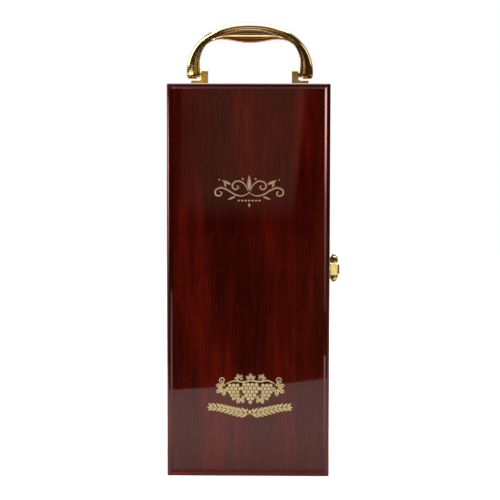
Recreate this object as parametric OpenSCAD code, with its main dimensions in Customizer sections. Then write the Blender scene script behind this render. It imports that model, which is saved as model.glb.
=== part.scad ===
// Single-bottle wine box: a lacquered wooden case that stands upright, with a framed lid
// hinged on its left side, a folding carrying handle on top and a small latch on the right.
// Millimetres. The origin is the middle of the foot, +Z is up and the lid faces -Y.

/* [Box] */
// Width across the front
box_w = 146.5; // [135:0.5:170]
// Height of the standing box, without its handle
box_h = 355; // [340:1:390]
// Depth from front to back with the lid closed
box_d = 118; // [112:1:140]
// Depth of the lid
lid_d = 38; // [32:1:44]
// Gap between lid and base at the seam
seam = 0.6; // [0.4:0.1:1]
// Thickness of the side walls
wall = 8; // [7:0.5:10]
// Radius of the box's long edges, front and back
edge_r = 1.8; // [0.6:0.1:2]
// Radius of its four corners, seen from the front
corner_r = 1.4; // [0.6:0.1:2]
// Radius of the edges along the seam
seam_r = 1; // [0.5:0.1:1.5]

/* [Panels] */
// Width of the raised rim around each panel
rim_w = 5; // [4:0.25:6]
// Thickness of the front and back panels
panel_t = 4; // [3:0.5:5]
// How far a panel lies below its rim
panel_inset = 1.8; // [1.7:0.1:3]
// Bevel along the rim's inner edge
rim_bevel = 1.7; // [0.6:0.1:1.7]
// Gap between a panel and its rebate
panel_gap = 0.15; // [0.1:0.05:0.3]

/* [Lining] */
// Radius of the bed's hollow for the bottle's body
bottle_r = 39.5; // [37:0.5:42]
// Length of that hollow up to the shoulder
bottle_body = 186; // [170:1:195]
// Length of the hollow's shoulder
bottle_shoulder = 44; // [36:1:50]
// Radius of the hollow for the neck
neck_r = 17; // [15:0.5:20]
// Foam left under the bottle
bed_floor = 5.5; // [4:0.5:8]
// Foam left beyond each end of the bottle
bed_end = 7; // [5:0.5:12]
// Radius of the finger scoop across the bed
scoop_r = 19; // [15:0.5:24]
// Height of the scoop's middle above the bed's lower end
scoop_h = 105; // [80:1:130]
// Thickness of the lid's pad
pad_t = 7; // [5:0.5:10]
// Radius of the pad's edges
pad_r = 3; // [2:0.5:4]
// Thickness of the covered boards along the inner walls
liner_t = 1.2; // [0.8:0.1:2]
// How far the boards stop short of the seam
liner_inset = 1.2; // [0.8:0.1:3]
// Gap around the lining
lining_gap = 0.25; // [0.15:0.05:0.4]

/* [Handle] */
// Half the handle's width
handle_rx = 58.9; // [54:0.1:64]
// Height of the handle's crown above its pivots
handle_rz = 47.7; // [42:0.1:55]
// Fullness of the arch: 2 is an ellipse, and more is squarer
handle_fullness = 2.2; // [2:0.05:2.6]
// Thickness of each foot, along the box's width
foot_t = 13.4; // [12.4:0.1:14]
// Thickness of the arch's outer band, and of the whole arch at its slimmest place
neck_t = 7.5; // [6:0.1:8]
// Thickness of the grip's belly
grip_t = 18.5; // [15:0.5:20]
// Width of a foot, front to back
foot_w = 8.8; // [8:0.2:10]
// Width of the grip, front to back
grip_w = 15.6; // [12:0.2:16.4]
// Radius of a foot's outer lower corner
foot_corner_r = 3; // [2:0.25:4]
// Distance of the handle behind the box's middle
handle_y = 12; // [5:1:20]
// Gap between each foot and the bracket that carries it
foot_gap = 0.5; // [0.4:0.05:0.8]

/* [Handle brackets] */
// Thickness of the upright
upright_t = 6; // [5.5:0.1:6.4]
// Height of the upright
upright_h = 13.2; // [12.8:0.2:15]
// Length of the foot plate along the box's width
plate_l = 15.4; // [14:0.2:18]
// Thickness of the foot plate
plate_t = 3.2; // [2.5:0.1:3.8]
// Depth of the bracket, front to back
bracket_w = 14; // [13:0.5:18]
// Height of the pivot above the box
pivot_h = 9.2; // [9:0.1:9.6]
// Radius of the pivot boss
boss_r = 3; // [2.6:0.1:3.2]
// Length of the pivot boss
boss_l = 4; // [3:0.1:4.5]
// Radius of the handle's pins
handle_pin_r = 1.6; // [1.2:0.05:1.9]
// Radius of the rounded top edges and of the inside corner
bracket_r = 2; // [1:0.25:2.5]
// Distance of each fixing screw from the bracket's middle
bracket_screw_y = 4.6; // [4:0.1:5]

/* [Hinges] */
// Height of each hinge's middle above or below the box's ends
hinge_end = 62; // [40:1:90]
// Length of a hinge
hinge_len = 32; // [26:0.5:40]
// Number of knuckles in a hinge
knuckles = 5; // [3:2:7]
// Radius of the knuckles
knuckle_r = 1.6; // [1.4:0.05:1.8]
// Radius of the hinge pins
hinge_pin_r = 0.75; // [0.6:0.05:0.85]
// Thickness of a leaf
leaf_t = 0.9; // [0.7:0.05:1.1]
// Width of a leaf from the pin's axis
leaf_w = 6.6; // [6.4:0.1:6.8]
// Gap between two knuckles
knuckle_gap = 0.2; // [0.15:0.05:0.3]

/* [Latch] */
// Height of the latch's middle above the foot
latch_z = 186; // [120:0.5:240]
// Distance of the latch's pin from the side wall
latch_out = 4.95; // [4.8:0.05:5.3]
// Distance of the latch's pin behind the seam
latch_back = 5.7; // [5.2:0.1:6.5]
// Thickness of the plates screwed to the walls
latch_plate_t = 0.6; // [0.4:0.05:0.65]
// Height of those plates
latch_plate_h = 18; // [16:0.5:22]
// Depth of the plate on the base, front to back
latch_mount_d = 14; // [12:0.5:18]
// Distance of each plate from the edge of its wall
latch_plate_edge = 0.9; // [0.6:0.1:1.2]
// Radius of the plates' corners
latch_plate_r = 1.5; // [1:0.1:2]
// Distance of the screws from the plates' ends
latch_screw_end = 2.6; // [2.4:0.1:3]
// Distance of the screws from the back edge of the plate on the base
latch_screw_back = 3.2; // [2.4:0.1:4]
// Radius of the flap's knuckle and of the ears that hold it
latch_knuckle_r = 2.9; // [2.6:0.1:3.1]
// Height of the flap's knuckle
latch_knuckle_h = 5.6; // [5:0.1:6.4]
// Thickness of each ear
ear_t = 1.2; // [1:0.1:1.6]
// Radius of the latch's pin
latch_pin_r = 1.2; // [1:0.05:1.4]
// Radius of the turned knobs on the pin's ends
knob_r = 3.75; // [3.2:0.05:4]
// Height of each knob
knob_h = 8.5; // [7.5:0.1:9]
// Width of the flap's front plate
tab_w = 7.2; // [6.4:0.05:7.4]
// Height of the front plate
tab_h = 11; // [10:0.2:12]
// Thickness of the front plate
tab_t = 1.3; // [1:0.1:1.5]
// Distance from the latch's pin forward to the front plate
tab_y = 15; // [14.5:0.1:16]
// Gap between the side wall and the front plate's inner edge
tab_gap = 1.05; // [1:0.05:1.3]
// Bevel round the front plate
tab_bevel = 0.45; // [0.3:0.05:0.6]
// Radius of the eyelet on the front plate's upper edge
eyelet_r = 1.6; // [1.2:0.1:2]
// Radius of the hole through the eyelet
eyelet_hole_r = 0.7; // [0.5:0.05:0.8]
// Thickness of the arm from the pin to the front plate
arm_t = 1.4; // [1.2:0.1:1.8]
// Distance from the pin's axis to the arm's inner face
arm_in = 2.6; // [2.4:0.05:2.8]
// Radius of the finger curl on the front plate's outer edge
curl_r = 1.8; // [1.5:0.1:2.2]
// Thickness of the keeper's ridge
ridge_t = 1.5; // [1.2:0.1:2]
// Gap between the flap's plate and the keeper's ridge
ridge_gap = 0.8; // [0.6:0.05:1]

/* [Screws] */
// Shank radius of the hinges' wood screws
hinge_screw_r = 0.75; // [0.6:0.05:0.85]
// Head radius of the hinges' wood screws
hinge_screw_head_r = 1.4; // [1.2:0.05:1.5]
// Length of the hinges' wood screws
hinge_screw_l = 8; // [6:0.5:12]
// Distance of the hinges' screws from a leaf's middle
hinge_screw_z = 9.6; // [8:0.2:11]
// Shank radius of the latch's wood screws
latch_screw_r = 0.9; // [0.7:0.05:1]
// Head radius of the latch's wood screws
latch_screw_head_r = 1.7; // [1.5:0.05:1.8]
// Length of the latch's wood screws
latch_screw_l = 6.5; // [5:0.5:6.8]
// Shank radius of the brackets' machine screws
bracket_screw_r = 1.5; // [1.2:0.05:1.6]
// Head radius of the brackets' machine screws
bracket_screw_head_r = 2.9; // [2.6:0.1:3.1]
// Head height of the brackets' machine screws
bracket_screw_head_h = 2.2; // [1.8:0.1:2.6]
// How far the machine screws reach into a bracket
bracket_screw_bite = 5.6; // [4.5:0.1:5.8]

/* [Hidden] */
$fn = 64;

// Colours
lacquer = "#4a140d";
lacquer_panel = "#3c0f0a";
gold = "#d8b25a";
steel = "#b9b6ad";
satin = "#d9c596";

// Clearances
eps = 1;              // how far a cutter reaches past what it cuts
fit = 0.03;           // around a pin or screw held fast
running = 0.05;       // around a pin that a moving piece turns on
turn_gap = 0.35;      // between a turning piece and what it passes
side_play = 0.3;      // beside the handle's feet
pin_inset = 0.2;      // of the handle's pins in a bracket and in a foot
curl_share = 0.76;    // of the front plate's height that the finger curl takes
seat_depth = 0.3;     // of the eyelet in the front plate
ridge_play = 0.3;     // between the keeper's ridge and the flap's plate at rest

// Places
base_d = box_d - lid_d - seam;
seam_y = -box_d / 2 + lid_d + seam / 2;
inner_w = box_w - 2 * wall;
inner_h = box_h - 2 * wall;
panel_back = panel_inset + panel_t;
front_floor = -box_d / 2 + panel_back;
back_floor = box_d / 2 - panel_back;
bed_face = back_floor - bed_floor - bottle_r;
hinge_upper_z = box_h - hinge_end;
hinge_lower_z = hinge_end;
knuckle_pitch = hinge_len / knuckles;
foot_inner_x = handle_rx - foot_t;
foot_bore_end = handle_rx - foot_corner_r;
bracket_x = foot_inner_x - foot_gap - upright_t;
boss_end = bracket_x + upright_t + boss_l;
latch_y = seam_y + latch_back;
mount_front = seam / 2 + latch_plate_edge - latch_back;
mount_back = mount_front + latch_mount_d;
keeper_front = ridge_gap - tab_y;
keeper_back = -latch_back - seam / 2 - latch_plate_edge;
ridge_h = tab_gap - ridge_play;

// The arch: angles from a pivot towards the crown, and half sections as [width share, depth share]
neck_angle = 40;
arch_step = 3.75;
foot_cuts = [80, 60, 40, 20];
band_share = 0.95;    // of the neck's thickness that the outer band takes
band_half = [[0, 0], [0.35, 0.02], [0.6, 0.08], [0.8, 0.2], [0.92, 0.36], [0.985, 0.52], [1, 0.64],
    [0.985, 0.74], [0.97, 0.8], [1, 0.88], [1, 1]];
leg_half = [[0.99, 0.14], [0.96, 0.34], [0.9, 0.5], [0.8, 0.66], [0.64, 0.8], [0.36, 0.94]];
belly_half = [[0.94, 0.08], [0.9, 0.47], [0.94, 0.54], [0.93, 0.66], [0.78, 0.85], [0.44, 0.97]];

// Half outline of a turned knob as [radius share, height share]
knob_outline = [[0, 0], [0.6, 0], [0.82, 0.03], [0.95, 0.1], [1, 0.2], [1, 0.52], [0.96, 0.62],
    [0.86, 0.72], [0.7, 0.79], [0.5, 0.83], [0.58, 0.88], [0.52, 0.96], [0.3, 1], [0, 1]];

// ---------- Plane shapes and placing ----------

// What rounds a corner off at the origin, for a shape that lies to its right and above it
module corner_cut(r) {
    difference() {
        translate([-eps, -eps]) square(r + eps);
        translate([r, r]) circle(r);
    }
}

// Rectangle with its lower left corner at the origin and all corners rounded
module rounded_rectangle(w, h, r) {
    difference() {
        square([w, h]);
        for (flip_x = [0, 1], flip_y = [0, 1])
            translate([flip_x * w, flip_y * h]) mirror([flip_x, 0]) mirror([0, flip_y])
                corner_cut(r);
    }
}

// Extrudes a shape drawn in X and Z along Y, from y0 to y1
module along_y(y0, y1) {
    translate([0, y1, 0]) rotate([90, 0, 0]) linear_extrude(y1 - y0) children();
}

// Extrudes a shape drawn in Y and Z along X, from x0 to x1
module along_x(x0, x1) {
    translate([x0, 0, 0]) rotate([90, 0, 90]) linear_extrude(x1 - x0) children();
}

// A copy on each side of the box
module both_sides() {
    children();
    mirror([1, 0, 0]) children();
}

// ---------- Screws ----------

// Wood screw with its head's top at the origin, pointing down; grow makes the hole for it
module wood_screw(shank_r, head_r, length, grow = 0) {
    head_h = head_r - shank_r;
    tip_h = 2 * shank_r;
    difference() {
        union() {
            translate([0, 0, -head_h]) cylinder(h = head_h, r1 = shank_r + grow, r2 = head_r + grow);
            translate([0, 0, tip_h - length]) cylinder(h = length - tip_h, r = shank_r + grow);
            translate([0, 0, -length - grow])
                cylinder(h = tip_h + grow, r1 = shank_r / 4, r2 = shank_r + grow);
        }
        if (grow == 0) driver_cross(head_r);
    }
}

// Cross recess in a screw head whose top is at the origin
module driver_cross(head_r) {
    depth = head_r / 4;
    slot = head_r / 4;
    for (turn = [0, 90])
        rotate(turn) translate([-head_r * 0.6, -slot / 2, -depth]) cube([head_r * 1.2, slot, 2 * depth]);
}

// Machine screw pointing up with its head's top, below the work, at the origin
module bracket_screw(grow = 0) {
    reach = wall + bracket_screw_bite;
    difference() {
        union() {
            translate([0, 0, -grow])
                cylinder(h = bracket_screw_head_h + grow, r = bracket_screw_head_r + grow);
            cylinder(h = reach + grow, r = bracket_screw_r + grow);
        }
        if (grow == 0) mirror([0, 0, 1]) driver_cross(bracket_screw_head_r);
    }
}

module all_bracket_screws(grow = 0) {
    both_sides() for (side = [-1, 1])
        translate([bracket_x + upright_t / 2, handle_y + side * bracket_screw_y, box_h - wall])
            bracket_screw(grow);
}

// ---------- Wooden case ----------

// Section of a wall: its thickness lies along X from the outside, its depth along Y from the rim
module wall_section(depth) {
    difference() {
        square([wall, depth]);
        translate([rim_w, -eps]) square([wall, panel_back + eps]);
        translate([rim_w, 0]) rotate(45) square(rim_bevel * sqrt(2), center = true);
        corner_cut(edge_r);
        translate([0, depth]) mirror([0, 1]) corner_cut(seam_r);
    }
}

// Mitred outline of a wall, across X and along Y
module mitred_outline(length) {
    difference() {
        polygon([[-eps, -eps], [wall + eps, wall + eps],
            [wall + eps, length - wall - eps], [-eps, length + eps]]);
        corner_cut(corner_r);
        translate([0, length]) mirror([0, 1]) corner_cut(corner_r);
    }
}

// Mitred wall along Z, with its outer face on x = 0 and its rim on y = 0
module mitred_wall(length, depth) {
    intersection() {
        linear_extrude(length) wall_section(depth);
        along_y(-eps, depth + eps) mitred_outline(length);
    }
}

// Upright wall at the box's left, with its rim towards -Y
module left_wall(depth) {
    translate([-box_w / 2, -box_d / 2, 0]) mitred_wall(box_h, depth);
}

// Level wall at the box's foot, with its rim towards -Y
module foot_wall(depth) {
    translate([-box_w / 2, -box_d / 2, 0]) mirror([1, 0, -1]) mitred_wall(box_w, depth);
}

// Panel that lies in the rims' rebate, towards -Y
module rebated_panel() {
    edge = rim_w + panel_gap;
    color(lacquer_panel) along_y(-box_d / 2 + panel_inset, front_floor)
        translate([edge - box_w / 2, edge]) square([box_w - 2 * edge, box_h - 2 * edge]);
}

module to_top() {
    translate([0, 0, box_h]) mirror([0, 0, 1]) children();
}

module to_right() {
    mirror([1, 0, 0]) children();
}

module to_back() {
    mirror([0, 1, 0]) children();
}

module base_left_wall() {
    color(lacquer) difference() {
        to_back() left_wall(base_d);
        both_hinges() hinge_recess();
        both_hinges() leaf_screws(fit);
    }
}

module base_right_wall() {
    color(lacquer) difference() {
        to_back() to_right() left_wall(base_d);
        latch_mount_screws_at(fit);
    }
}

module base_top_wall() {
    color(lacquer) difference() {
        to_back() to_top() foot_wall(base_d);
        all_bracket_screws(fit);
    }
}

module base_bottom_wall() {
    color(lacquer) to_back() foot_wall(base_d);
}

module back_panel() {
    to_back() rebated_panel();
}

module lid_left_wall() {
    color(lacquer) difference() {
        left_wall(lid_d);
        both_hinges() to_back() hinge_recess();
        both_hinges() to_back() leaf_screws(fit);
    }
}

module lid_right_wall() {
    color(lacquer) difference() {
        to_right() left_wall(lid_d);
        latch_keeper_screws_at(fit);
    }
}

module lid_top_wall() {
    color(lacquer) to_top() foot_wall(lid_d);
}

module lid_bottom_wall() {
    color(lacquer) foot_wall(lid_d);
}

module lid_panel() {
    rebated_panel();
}

// ---------- Lining ----------

// Half outline of the bottle's hollow, from its axis outwards and its foot upwards
function bottle_outline() = let (
    length = inner_h - 2 * (lining_gap + bed_end),
    steps = 12,
    shoulder = [for (i = [0 : steps])
        [neck_r + (bottle_r - neck_r) * (1 + cos(180 * i / steps)) / 2,
         bottle_body + bottle_shoulder * i / steps]]
) concat([[0, 0], [bottle_r, 0]], shoulder, [[neck_r, length], [0, length]]);

module bottle_bed() {
    bed_w = inner_w - 2 * lining_gap;
    bed_h = inner_h - 2 * lining_gap;
    bed_foot = wall + lining_gap;
    color(satin) difference() {
        translate([-bed_w / 2, bed_face, bed_foot]) cube([bed_w, back_floor - bed_face, bed_h]);
        translate([0, bed_face, bed_foot + bed_end]) rotate_extrude() polygon(bottle_outline());
        translate([0, bed_face, bed_foot + scoop_h]) rotate([0, 90, 0])
            cylinder(h = bed_w - 2 * bed_end, r = scoop_r, center = true);
    }
}

// Ring of covered boards along the inner walls, from y0 to y1
module liner_ring(y0, y1) {
    w = inner_w - 2 * lining_gap;
    h = inner_h - 2 * lining_gap;
    color(satin) along_y(y0, y1) translate([-w / 2, wall + lining_gap]) difference() {
        square([w, h]);
        translate([liner_t, liner_t]) square([w - 2 * liner_t, h - 2 * liner_t]);
    }
}

module base_liner() {
    liner_ring(seam_y + seam / 2 + liner_inset, bed_face);
}

module lid_liner() {
    liner_ring(front_floor, seam_y - seam / 2 - liner_inset);
}

// Pad on the back of the lid's panel, rounded along its edges
module lid_pad() {
    pad_w = inner_w - 2 * (2 * lining_gap + liner_t);
    pad_h = inner_h - 2 * (2 * lining_gap + liner_t);
    color(satin) translate([-pad_w / 2, front_floor, box_h / 2 - pad_h / 2]) intersection() {
        linear_extrude(pad_h) pad_section(pad_w);
        translate([pad_w, 0, 0]) rotate([0, -90, 0]) linear_extrude(pad_w) pad_section(pad_h);
    }
}

// Section of the pad: flat behind, with both front corners rounded
module pad_section(width) {
    difference() {
        square([width, pad_t]);
        for (flip = [0, 1])
            translate([flip * width, pad_t]) mirror([flip, 0]) mirror([0, 1]) corner_cut(pad_r);
    }
}

// ---------- Handle ----------

// Places its children's origin on the handle's pivot axis at the box's middle
module at_pivots() {
    translate([0, handle_y, box_h + pivot_h]) children();
}

module handle_bracket_right() {
    top_h = upright_h - pivot_h;
    color(gold) at_pivots() difference() {
        union() {
            // Upright, rounded along its upper edges
            along_x(bracket_x, bracket_x + upright_t) difference() {
                translate([-bracket_w / 2, -pivot_h]) square([bracket_w, upright_h]);
                for (flip = [0, 1])
                    translate([(flip - 0.5) * bracket_w, top_h]) mirror([flip, 0]) mirror([0, 1])
                        corner_cut(bracket_r);
            }
            // Foot plate, with the inside corner filled
            along_y(-bracket_w / 2, bracket_w / 2) {
                translate([bracket_x, -pivot_h]) square([plate_l, plate_t]);
                intersection() {
                    translate([bracket_x + upright_t, plate_t - pivot_h]) corner_cut(bracket_r);
                    translate([bracket_x + upright_t, plate_t - pivot_h]) square(bracket_r);
                }
            }
            along_x(bracket_x + upright_t / 2, boss_end) circle(boss_r);
        }
        along_x(bracket_x - eps, boss_end + eps) circle(handle_pin_r + fit);
        translate([0, -handle_y, -box_h - pivot_h]) all_bracket_screws(fit);
    }
}

module handle_bracket_left() {
    mirror([1, 0, 0]) handle_bracket_right();
}

module handle_pins() {
    color(gold) at_pivots() both_sides()
        along_x(bracket_x + pin_inset, foot_bore_end - pin_inset) circle(handle_pin_r);
}

module handle_bracket_screws() {
    color(steel) all_bracket_screws();
}

// Point of the arch's outer edge at angle t, from the right pivot (0) over the crown (90)
function arch_point(t) = let (power = 2 / handle_fullness)
    [sign(cos(t)) * handle_rx * pow(abs(cos(t)), power), handle_rz * pow(sin(t), power)];

// Outward normal of the arch at one of its points
function arch_normal(p) = let (
    power = handle_fullness - 1,
    n = [sign(p.x) * pow(abs(p.x) / handle_rx, power) / handle_rx, pow(p.y / handle_rz, power) / handle_rz]
) n / norm(n);

// Smooth step from 0 to 1 as x goes from a to b
function ease(a, b, x) = (1 - cos(180 * max(0, min(1, (x - a) / (b - a))))) / 2;

// Thickness of the arch, t degrees from its nearer foot: a leg that slims, then the grip's belly
function arch_thickness(t) = t < neck_angle
    ? neck_t + (foot_t - neck_t) * pow(1 - t / neck_angle, 1.2)
    : neck_t + (grip_t - neck_t) * pow(ease(neck_angle, 90, t), 1.15);

// Thickness of the outer band alone, which ends in a ridge, and the arch's width
function band_thickness(t) = band_share * min(arch_thickness(t), t < neck_angle ? foot_t : neck_t);
function arch_width(t) = foot_w + (grip_w - foot_w) * ease(15, 85, t);

// Half section as [half width, depth] in millimetres: the band, then what lies inside it
function half_section(t) = let (
    half_w = arch_width(t) / 2,
    band = band_thickness(t),
    rest = arch_thickness(t) - band,
    grip = ease(neck_angle - 10, neck_angle + 25, t)
) concat(
    [for (p = band_half) [p.x * half_w, p.y * band]],
    [for (i = [0 : len(leg_half) - 1]) let (p = leg_half[i] * (1 - grip) + belly_half[i] * grip)
        [p.x * half_w, band + p.y * rest]]);

// Whole section: one side inwards, the inner middle, and the other side back
function full_section(t) = let (half = half_section(t)) concat(
    half,
    [[0, arch_thickness(t)]],
    [for (i = [len(half) - 1 : -1 : 1]) [-half[i].x, half[i].y]]);

// Ring of points where the arch is cut at t degrees
function arch_ring(t) = let (
    near = t > 90 ? 180 - t : t,
    outer = arch_point(t),
    normal = arch_normal(outer)
) [for (s = full_section(near)) let (p = outer - normal * s.y) [p.x, s.x, p.y]];

// Ring of points where a foot's rounded end is cut, a degrees below the pivot
function foot_ring(a, side) = let (
    drop = foot_w / 2 * sin(a),
    inset = foot_corner_r * (1 - cos(a)),
    slimmer = (foot_t - inset) / foot_t
) [for (s = full_section(0)) [side * (handle_rx - inset - s.y * slimmer), s.x * cos(a), -drop]];

function handle_rings() = concat(
    [for (a = foot_cuts) foot_ring(a, 1)],
    [for (t = [0 : arch_step : 180]) arch_ring(t)],
    [for (i = [len(foot_cuts) - 1 : -1 : 0]) foot_ring(foot_cuts[i], -1)]);

// Solid through a list of rings with equal numbers of points
module skin(rings) {
    n = len(rings[0]);
    last = len(rings) - 1;
    polyhedron(
        points = [for (ring = rings) each ring],
        faces = concat(
            [[for (i = [0 : n - 1]) i]],
            [for (r = [0 : last - 1], i = [0 : n - 1]) each let (a = r * n + i, b = r * n + (i + 1) % n)
                [[a, a + n, b], [b, a + n, b + n]]],
            [[for (i = [n - 1 : -1 : 0]) last * n + i]]));
}

// Cast arch: the feet are stepped round the brackets' bosses and bored for the pins
module handle_arch() {
    step_x = boss_end + side_play;
    step_r = boss_r + turn_gap;
    color(gold) at_pivots() difference() {
        skin(handle_rings());
        both_sides() {
            along_x(foot_inner_x - eps, step_x) {
                circle(step_r);
                translate([-foot_w, -foot_w]) square([2 * foot_w, foot_w]);
            }
            along_x(foot_inner_x - eps, foot_bore_end) circle(handle_pin_r + running);
        }
    }
}

// ---------- Hinges ----------

module at_hinge(z) {
    translate([-box_w / 2, seam_y, z]) children();
}

module both_hinges() {
    at_hinge(hinge_upper_z) children();
    at_hinge(hinge_lower_z) children();
}

// Cylinder at the place of one knuckle, counted from the hinge's lower end
module knuckle_at(i, r, length) {
    translate([0, 0, (i + 0.5) * knuckle_pitch - hinge_len / 2])
        cylinder(h = length, r = r, center = true);
}

module leaf_screws(grow = 0) {
    screw_x = (knuckle_r + leaf_w) / 2;
    for (side = [-1, 1])
        translate([screw_x, seam / 2, side * hinge_screw_z]) rotate([90, 0, 0])
            wood_screw(hinge_screw_r, hinge_screw_head_r, hinge_screw_l, grow);
}

// Leaf on the base's side of the seam, with every other knuckle from the first one given
module hinge_leaf(first) {
    color(gold) difference() {
        union() {
            difference() {
                translate([0, seam / 2, -hinge_len / 2]) cube([leaf_w, leaf_t, hinge_len]);
                for (i = [1 - first : 2 : knuckles - 1])
                    knuckle_at(i, knuckle_r + turn_gap, knuckle_pitch + knuckle_gap);
            }
            for (i = [first : 2 : knuckles - 1])
                knuckle_at(i, knuckle_r, knuckle_pitch - knuckle_gap);
        }
        cylinder(h = hinge_len + 2 * eps, r = hinge_pin_r + running, center = true);
        leaf_screws(fit);
    }
}

// Room for a leaf and for the turning knuckles, cut into the wall on the base's side
module hinge_recess() {
    translate([0, 0, -hinge_len / 2]) cube([leaf_w, seam / 2 + leaf_t, hinge_len]);
    cylinder(h = hinge_len, r = knuckle_r + turn_gap, center = true);
}

module hinge_base_leaf_upper() {
    at_hinge(hinge_upper_z) hinge_leaf(0);
}

module hinge_base_leaf_lower() {
    at_hinge(hinge_lower_z) hinge_leaf(0);
}

module hinge_lid_leaf_upper() {
    at_hinge(hinge_upper_z) to_back() hinge_leaf(1);
}

module hinge_lid_leaf_lower() {
    at_hinge(hinge_lower_z) to_back() hinge_leaf(1);
}

module hinge_pins() {
    color(gold) both_hinges() cylinder(h = hinge_len, r = hinge_pin_r, center = true);
}

module hinge_base_screws() {
    color(gold) both_hinges() leaf_screws();
}

module hinge_lid_screws() {
    color(gold) both_hinges() to_back() leaf_screws();
}

// ---------- Latch ----------

// Places its children's origin on the side wall, level with the latch and beside its pin
module at_latch() {
    translate([box_w / 2, latch_y, latch_z]) children();
}

// Pair of wood screws through a plate on the side wall
module plate_screws(y, grow) {
    for (side = [-1, 1])
        translate([latch_plate_t, y, side * (latch_plate_h / 2 - latch_screw_end)]) rotate([0, 90, 0])
            wood_screw(latch_screw_r, latch_screw_head_r, latch_screw_l, grow);
}

module latch_mount_screws_at(grow = 0) {
    at_latch() plate_screws(mount_back - latch_screw_back, grow);
}

module latch_mount_screws() {
    color(gold) latch_mount_screws_at();
}

// Plate on the base with two ears that hold the latch's pin
module latch_mount() {
    color(gold) difference() {
        at_latch() difference() {
            union() {
                along_x(0, latch_plate_t) translate([mount_front, -latch_plate_h / 2])
                    rounded_rectangle(latch_mount_d, latch_plate_h, latch_plate_r);
                for (side = [0, 1]) mirror([0, 0, side]) translate([0, 0, latch_knuckle_h / 2 + knuckle_gap])
                    linear_extrude(ear_t) ear_outline();
            }
            translate([latch_out, 0, 0]) cylinder(h = tab_h * 2, r = latch_pin_r + fit, center = true);
        }
        latch_mount_screws_at(fit);
    }
}

// Outline of an ear, wider at its root on the plate
module ear_outline() {
    root = latch_knuckle_r * 1.2;
    translate([latch_out, 0]) circle(latch_knuckle_r);
    polygon([[latch_plate_t / 2, -root], [latch_out, -latch_knuckle_r], [latch_out, latch_knuckle_r],
        [latch_plate_t / 2, root]]);
}

// Pin with a turned knob on each end
module latch_pin() {
    half = latch_knuckle_h / 2 + knuckle_gap + ear_t;
    color(gold) at_latch() translate([latch_out, 0, 0]) {
        cylinder(h = 2 * half + 2 * fit, r = latch_pin_r, center = true);
        for (side = [0, 1]) mirror([0, 0, side]) translate([0, 0, half + fit])
            rotate_extrude() polygon([for (p = knob_outline) [p.x * knob_r, p.y * knob_h]]);
    }
}

module latch_keeper_screws_at(grow = 0) {
    at_latch() plate_screws((keeper_front + ridge_t + keeper_back) / 2, grow);
}

module latch_keeper_screws() {
    color(gold) latch_keeper_screws_at();
}

// Plate on the lid with the ridge that the flap drops in front of
module latch_keeper() {
    color(gold) difference() {
        at_latch() {
            along_x(0, latch_plate_t) translate([keeper_front, -latch_plate_h / 2])
                rounded_rectangle(keeper_back - keeper_front, latch_plate_h, latch_plate_r);
            translate([latch_plate_t / 2, keeper_front, -latch_knuckle_h / 2])
                cube([ridge_h - latch_plate_t / 2, ridge_t, latch_knuckle_h]);
        }
        latch_keeper_screws_at(fit);
    }
}

// Flap that turns on the pin: a knuckle, an arm over the seam and a front plate with a finger curl
module latch_flap() {
    tab_in = tab_gap - latch_out;
    tab_front = -tab_y - tab_t;
    color(gold) at_latch() translate([latch_out, 0, 0]) difference() {
        union() {
            cylinder(h = latch_knuckle_h, r = latch_knuckle_r, center = true);
            translate([-arm_in, -tab_y - tab_t / 2, -latch_knuckle_h / 2])
                cube([arm_t, tab_y + tab_t / 2, latch_knuckle_h]);
            translate([tab_in, tab_front, -tab_h / 2]) front_plate();
            at_eyelet() along_y(tab_front + tab_bevel, -tab_y) circle(eyelet_r);
            translate([tab_in + tab_w - tab_bevel, curl_r + tab_front, 0]) finger_curl();
        }
        cylinder(h = latch_knuckle_h + 2 * eps, r = latch_pin_r + running, center = true);
        at_eyelet() along_y(tab_front - eps, eps - tab_y) circle(eyelet_hole_r);
    }
}

// Flat plate with its front face on y = 0, bevelled all round
module front_plate() {
    intersection() {
        linear_extrude(tab_h) bevelled(tab_w, tab_t, tab_bevel);
        translate([tab_w, 0, 0]) rotate([0, -90, 0]) linear_extrude(tab_w) bevelled(tab_h, tab_t, tab_bevel);
    }
}

// Places the eyelet's centre on the front plate's upper edge
module at_eyelet() {
    translate([tab_gap - latch_out + tab_w / 2, 0, tab_h / 2 - seat_depth]) children();
}

// Quarter turn of plate at the front plate's outer edge
module finger_curl() {
    curl_h = tab_h * curl_share;
    translate([0, 0, -curl_h / 2]) rotate_extrude(angle = 90, start = -90)
        translate([curl_r - tab_t, 0]) square([tab_t, curl_h]);
}

// Rectangle from the origin, with the two corners on y = 0 bevelled
module bevelled(w, h, b) {
    polygon([[b, 0], [w - b, 0], [w, b], [w, h], [0, h], [0, b]]);
}

// ---------- Assembly ----------

base_left_wall();
base_right_wall();
base_top_wall();
base_bottom_wall();
back_panel();
bottle_bed();
base_liner();
handle_bracket_left();
handle_bracket_right();
handle_pins();
handle_bracket_screws();
hinge_base_leaf_upper();
hinge_base_leaf_lower();
hinge_pins();
hinge_base_screws();
latch_mount();
latch_pin();
latch_mount_screws();
lid_left_wall();
lid_right_wall();
lid_top_wall();
lid_bottom_wall();
lid_panel();
lid_pad();
lid_liner();
hinge_lid_leaf_upper();
hinge_lid_leaf_lower();
hinge_lid_screws();
latch_keeper();
latch_keeper_screws();
handle_arch();
latch_flap();
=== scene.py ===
"""Upright lacquered wine box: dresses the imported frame, builds its handle, lining and gilt ornaments,
and sets a plain pale studio round it. Metres, in the frame's own axes: +Z up, lid towards -Y."""

from __future__ import annotations

import logging
import math
from dataclasses import dataclass
from enum import Enum
from functools import cached_property
from typing import Sequence

import bmesh
import bpy
from mathutils import Matrix, Vector

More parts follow.
